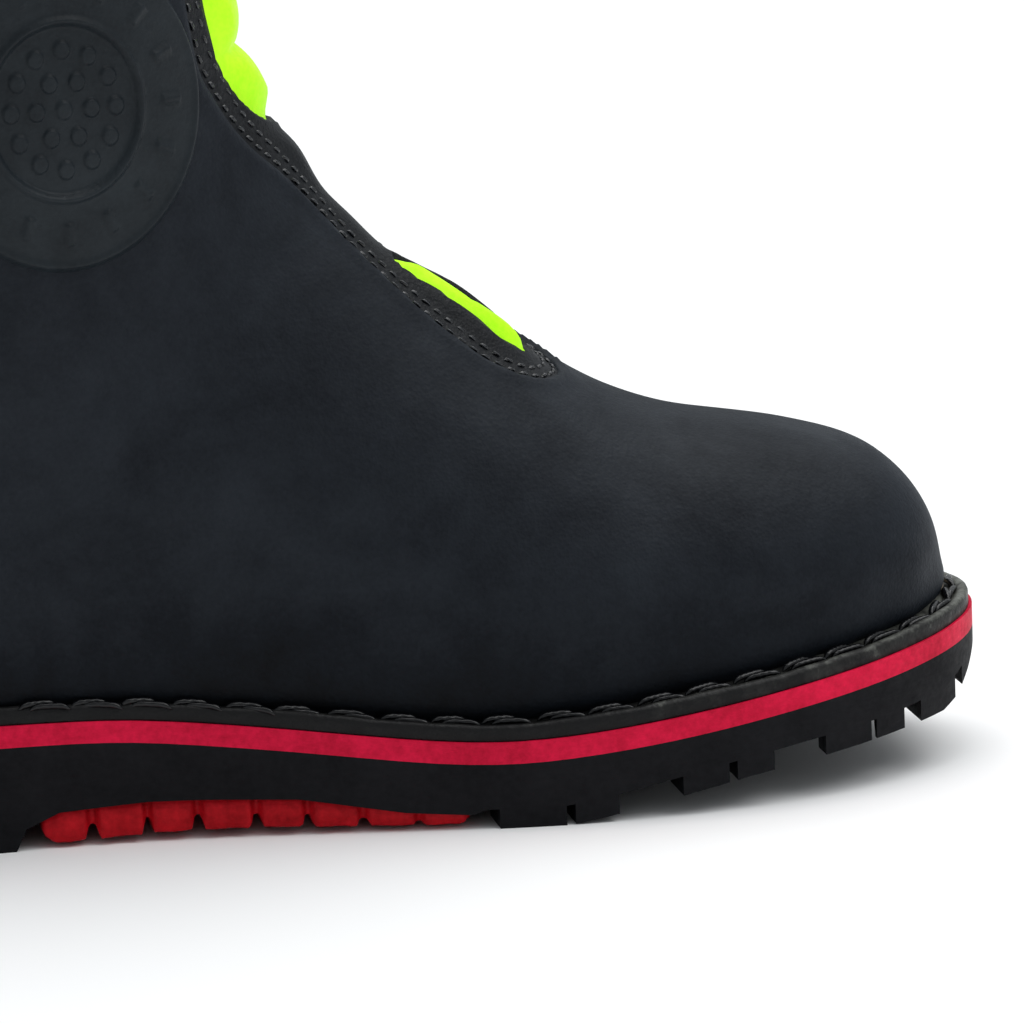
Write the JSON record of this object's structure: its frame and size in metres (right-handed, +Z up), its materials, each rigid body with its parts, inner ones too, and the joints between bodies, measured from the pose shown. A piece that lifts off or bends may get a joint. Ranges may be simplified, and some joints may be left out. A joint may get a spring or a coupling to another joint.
{
  "type": "firefighter boot",
  "caption": "Pull-on firefighting boot: leather upper with ribbed flexible front, welted sole, red midsole and grip insert, lugged outsole and two swinging pull loops.",
  "frame": {"origin": "centre of the sole's bounding rectangle, on the floor", "axes": "+X towards the toe, -Y the lateral (outer) side of this right boot, +Z up; floor at Z = 0"},
  "size_m": [0.3133, 0.1119, 0.335],
  "materials": {
    "rubber_black": "moulded black rubber, satin",
    "rubber_red": "moulded red rubber, satin",
    "welt_leather": "dark grey welt leather, waxed edge",
    "waxed_thread": "thick waxed black thread",
    "cork": "ground cork filler",
    "steel": "plain spring steel",
    "board": "fibre insole board",
    "footbed_foam": "felt-topped foam footbed",
    "boot_leather": "waxed blue-black leather, matte",
    "gusset_leather": "soft black leather, matte",
    "flex_neon": "fluorescent yellow-green coated fabric",
    "seam_thread": "bonded black thread",
    "reflective_tape": "silver reflective tape",
    "guard_rubber": "matte black rubber",
    "loop_leather": "folded leather strap, matte",
    "stiffener_board": "moulded thermoplastic stiffener",
    "foam_felt": "insulating felt",
    "lining_fabric": "dark woven membrane lining"
  },
  "bodies": {
    "boot": {"outsole": "rubber_black", "ladder_insert": "rubber_red", "midsole": "rubber_red", "welt": "welt_leather", "welt_stitching": "waxed_thread", "cork_filler": "cork", "shank": "steel", "puncture_plate": "steel", "insole_board": "board", "vamp_and_quarters": "boot_leather", "shaft_lateral": "boot_leather", "shaft_medial": "boot_leather", "front_gusset": "gusset_leather", "shin_flex_pad": "flex_neon", "instep_flex_pad": "flex_neon", "gusset_stitching": "seam_thread", "heel_counter_cover": "boot_leather", "back_stay": "boot_leather", "reflective_band": "reflective_tape", "guard_disc_lateral": "guard_rubber", "guard_disc_medial": "guard_rubber", "collar": "gusset_leather", "loop_anchor_lateral": "boot_leather", "loop_anchor_medial": "boot_leather", "toe_cap": "steel", "toe_cap_cushion": "guard_rubber", "heel_stiffener": "stiffener_board", "interlining": "foam_felt", "lining": "lining_fabric"},
    "pull_loop_lateral": {"pull_loop_lateral": "loop_leather"},
    "pull_loop_medial": {"pull_loop_medial": "loop_leather"},
    "footbed": {"footbed": "footbed_foam"}
  },
  "joints": [
    {"name": "pull_loop_lateral_swing", "type": "hinge", "parent": "boot", "child": "pull_loop_lateral", "pos_m": [-0.081, -0.0523, 0.31025], "axis": [1, 0, 0], "range_deg": [-25, 85]},
    {"name": "pull_loop_medial_swing", "type": "hinge", "parent": "boot", "child": "pull_loop_medial", "pos_m": [-0.081, 0.0523, 0.31025], "axis": [-1, 0, 0], "range_deg": [-25, 85]},
    {"name": "footbed_lift", "type": "hinge", "parent": "boot", "child": "footbed", "pos_m": [0.146, 0, 0.044], "axis": [0, 1, 0], "range_deg": [0, 5]}
  ]
}
